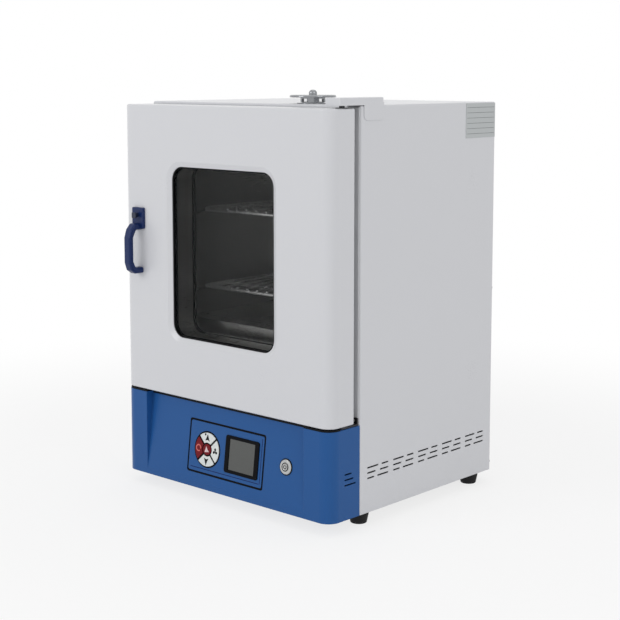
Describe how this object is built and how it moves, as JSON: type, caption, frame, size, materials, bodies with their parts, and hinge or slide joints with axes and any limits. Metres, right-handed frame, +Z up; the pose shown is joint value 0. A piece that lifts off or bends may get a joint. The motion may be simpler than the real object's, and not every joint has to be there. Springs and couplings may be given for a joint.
{
  "type": "laboratory drying oven",
  "caption": "Benchtop drying oven: box cabinet, side-hinged insulated door with window, push-button latch, wire shelves, sloped control fascia and rotary top vent.",
  "frame": {"origin": "on the floor, under the middle of the oven with its door closed", "axes": "+Z up, -Y towards the user, +X to the user's right, which is the hinge side"},
  "size_m": [0.447, 0.4282, 0.6406],
  "materials": {
    "cabinet_paint": "gloss powder coat",
    "fascia_blue": "gloss powder coat",
    "stainless": "brushed",
    "shelf_wire": "bright wire",
    "heater_sheath": "heat darkened",
    "zinc_plate": "zinc plated",
    "hinge_steel": "dark oxide",
    "foot_rubber": "matt",
    "silicone_grey": "satin",
    "seal_black": "satin",
    "window_glass": "clear tempered",
    "wool": "mineral wool",
    "chrome": "polished",
    "black_plastic": "satin",
    "display_grey": "gloss",
    "key_white": "satin",
    "key_red": "satin",
    "switch_steel": "satin",
    "board_green": "solder mask",
    "relay_body": "satin",
    "handle_navy": "satin",
    "button_dark": "satin"
  },
  "bodies": {
    "cabinet": {"cabinet_shell": "cabinet_paint", "front_frame": "cabinet_paint", "chamber_liner": "stainless", "divider_plate": "zinc_plate", "base_pan": "zinc_plate", "rear_panel": "cabinet_paint", "rubber_feet": "foot_rubber", "cabinet_screws": "zinc_plate", "shelf_rail_front_left": "stainless", "shelf_rail_rear_left": "stainless", "shelf_rail_front_right": "stainless", "shelf_rail_rear_right": "stainless", "shelf_clips": "stainless", "heater_cover": "stainless", "heating_element": "heater_sheath", "temperature_probe": "stainless", "chamber_insulation": "wool", "vent_tube": "chrome", "control_fascia": "fascia_blue", "control_tray": "black_plastic", "control_insert": "fascia_blue", "display_bezel": "black_plastic", "display_glass": "display_grey", "keypad_base": "black_plastic", "switch_body": "switch_steel", "switch_nut": "switch_steel", "control_board": "board_green", "solid_state_relay": "relay_body", "terminal_block": "black_plastic", "power_inlet": "black_plastic", "fuse_holder": "black_plastic", "hinge_cover": "cabinet_paint", "upper_hinge_arm": "zinc_plate", "lower_hinge_arm": "zinc_plate", "latch_strike": "stainless"},
    "door": {"door_skin": "cabinet_paint", "outer_glass_seal": "seal_black", "outer_glass": "window_glass", "inner_glass_seal": "seal_black", "inner_glass": "window_glass", "window_sleeve": "stainless", "door_inner_panel": "stainless", "door_insulation": "wool", "door_gasket": "silicone_grey", "upper_hinge_bush": "hinge_steel", "lower_hinge_bush": "hinge_steel", "door_handle": "handle_navy", "latch_bracket": "zinc_plate"},
    "latch_button": {"latch_button": "button_dark"},
    "latch_hook": {"latch_hook": "zinc_plate"},
    "vent_cap": {"vent_cap": "chrome"},
    "switch_button": {"switch_button": "switch_steel"},
    "shelf_upper": {"shelf_upper": "shelf_wire"},
    "shelf_lower": {"shelf_lower": "shelf_wire"},
    "key_up": {"key_up": "key_white"},
    "key_right": {"key_right": "key_white"},
    "key_down": {"key_down": "key_white"},
    "key_left": {"key_left": "key_red"},
    "key_centre": {"key_centre": "key_red"}
  },
  "joints": [
    {"name": "door_swing", "type": "hinge", "parent": "cabinet", "child": "door", "pos_m": [0.213, -0.148, 0.3875], "axis": [0, 0, 1], "range_deg": [0, 110]},
    {"name": "latch_press", "type": "slide", "parent": "door", "child": "latch_button", "axis": [0, 1, 0], "range_m": [0, 0.005], "stiffness_N_per_m": 300},
    {"name": "latch_turn", "type": "hinge", "parent": "door", "child": "latch_hook", "pos_m": [-0.183, -0.1607, 0.413], "axis": [-1, 0, 0], "range_deg": [0, 12.01]},
    {"name": "vent_turn", "type": "hinge", "parent": "cabinet", "child": "vent_cap", "pos_m": [0.094, -0.078, 0.63], "axis": [0, 0, 1], "range_deg": [0, 45]},
    {"name": "switch_press", "type": "slide", "parent": "cabinet", "child": "switch_button", "axis": [0, 0.993, -0.1182], "range_m": [0, 0.0024], "stiffness_N_per_m": 600},
    {"name": "shelf_upper_slide", "type": "slide", "parent": "cabinet", "child": "shelf_upper", "axis": [0, -1, 0], "range_m": [0, 0.04]},
    {"name": "shelf_lower_slide", "type": "slide", "parent": "cabinet", "child": "shelf_lower", "axis": [0, -1, 0], "range_m": [0, 0.04]},
    {"name": "key_up_press", "type": "slide", "parent": "cabinet", "child": "key_up", "axis": [0, 0.993, -0.1182], "range_m": [0, 0.0008], "stiffness_N_per_m": 500},
    {"name": "key_right_press", "type": "slide", "parent": "cabinet", "child": "key_right", "axis": [0, 0.993, -0.1182], "range_m": [0, 0.0008], "stiffness_N_per_m": 500},
    {"name": "key_down_press", "type": "slide", "parent": "cabinet", "child": "key_down", "axis": [0, 0.993, -0.1182], "range_m": [0, 0.0008], "stiffness_N_per_m": 500},
    {"name": "key_left_press", "type": "slide", "parent": "cabinet", "child": "key_left", "axis": [0, 0.993, -0.1182], "range_m": [0, 0.0008], "stiffness_N_per_m": 500},
    {"name": "key_centre_press", "type": "slide", "parent": "cabinet", "child": "key_centre", "axis": [0, 0.993, -0.1182], "range_m": [0, 0.0008], "stiffness_N_per_m": 500}
  ],
  "couplings": [
    {"joint": "latch_turn", "follows": "latch_press", "rad_per_m": 41.888}
  ]
}
